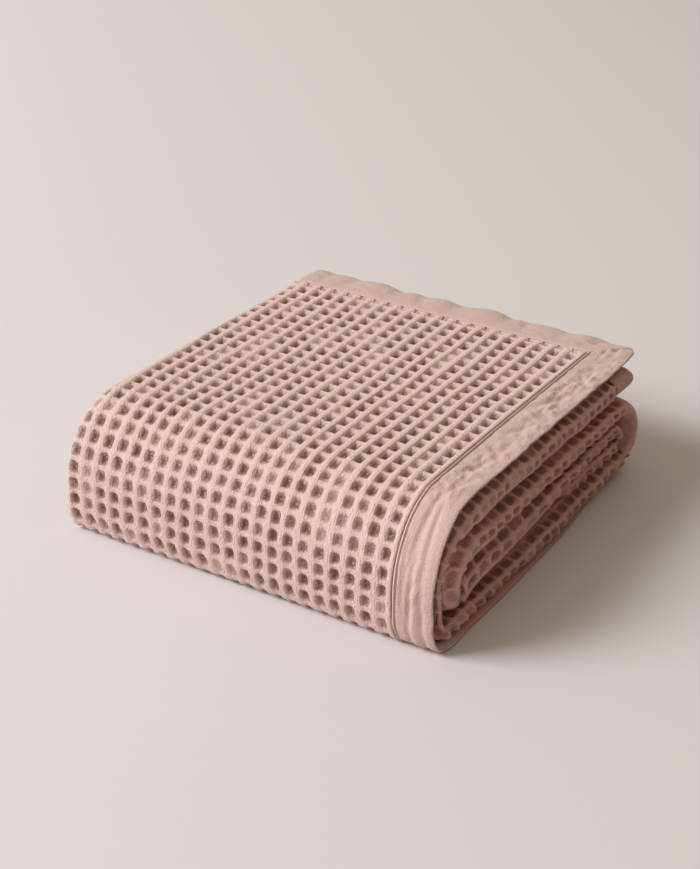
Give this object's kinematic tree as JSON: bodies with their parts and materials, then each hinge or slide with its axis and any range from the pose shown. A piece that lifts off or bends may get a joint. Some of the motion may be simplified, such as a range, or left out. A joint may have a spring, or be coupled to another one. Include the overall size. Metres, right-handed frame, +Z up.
{
  "type": "folded waffle blanket",
  "caption": "Linen waffle-weave blanket with a plain mitred border, folded in three and rolled flat into a low square stack.",
  "frame": {"origin": "centre of the stack's footprint, on the surface that it lies on", "axes": "+Z up, +X along the rounded front fold towards the side where the fold edges show, +Y towards the back"},
  "size_m": [0.3594, 0.3696, 0.1114],
  "materials": {
    "waffle_linen": "matte",
    "plain_linen": "matte"
  },
  "bodies": {
    "root": {"waffle_panel": "waffle_linen", "border_right": "plain_linen", "border_left": "plain_linen", "border_head": "plain_linen", "border_foot": "plain_linen"}
  },
  "joints": []
}
